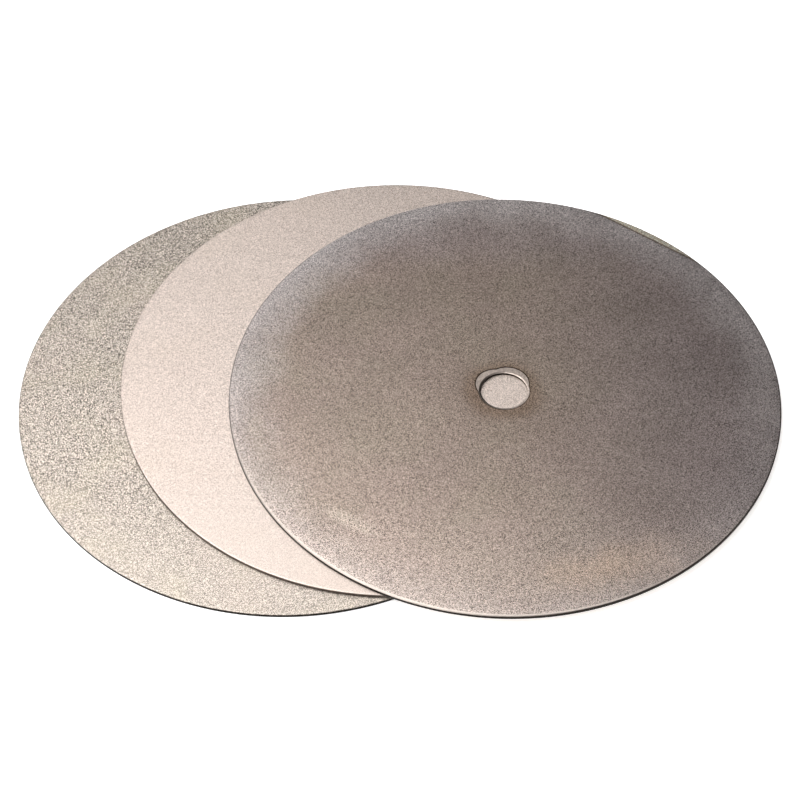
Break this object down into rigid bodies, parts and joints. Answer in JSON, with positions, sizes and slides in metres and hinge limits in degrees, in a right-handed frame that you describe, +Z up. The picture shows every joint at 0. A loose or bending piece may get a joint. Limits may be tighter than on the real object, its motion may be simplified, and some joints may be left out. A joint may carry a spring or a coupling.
{
  "type": "diamond grinding wheel",
  "caption": "Thin steel lapping discs with nickel-bonded diamond grit on one face and a central arbor bore, fanned out in a low stack.",
  "frame": {"origin": "centre of the coarse disc's bore, on the underside of the stack", "axes": "+Z up, across the discs; +X along the fan, from the coarse disc at the bottom to the medium disc on top; +Y away from the viewer"},
  "size_m": [0.2075, 0.1577, 0.003],
  "materials": {
    "steel": "punched and bare, with a bright roll-over at the rim",
    "back_plating": "satin nickel, stained brown, with a paler band at the rim",
    "nickel": "dull electroplate",
    "coarse_grit": "coarse glinting grain",
    "medium_grit": "medium glinting grain",
    "fine_grit": "fine, pale, matte grain"
  },
  "bodies": {
    "coarse_disc": {"coarse_plate": "steel", "coarse_back_plating": "back_plating", "coarse_nickel_bond": "nickel", "coarse_grit": "coarse_grit"},
    "fine_disc": {"fine_plate": "steel", "fine_back_plating": "back_plating", "fine_nickel_bond": "nickel", "fine_grit": "fine_grit"},
    "medium_disc": {"medium_plate": "steel", "medium_back_plating": "back_plating", "medium_nickel_bond": "nickel", "medium_grit": "medium_grit"}
  },
  "joints": [
    {"name": "fine_lift", "type": "slide", "parent": "coarse_disc", "child": "fine_disc", "axis": [0, 0, 1], "range_m": [0, 0.06]},
    {"name": "medium_lift", "type": "slide", "parent": "fine_disc", "child": "medium_disc", "axis": [0, 0, 1], "range_m": [0, 0.06]}
  ]
}
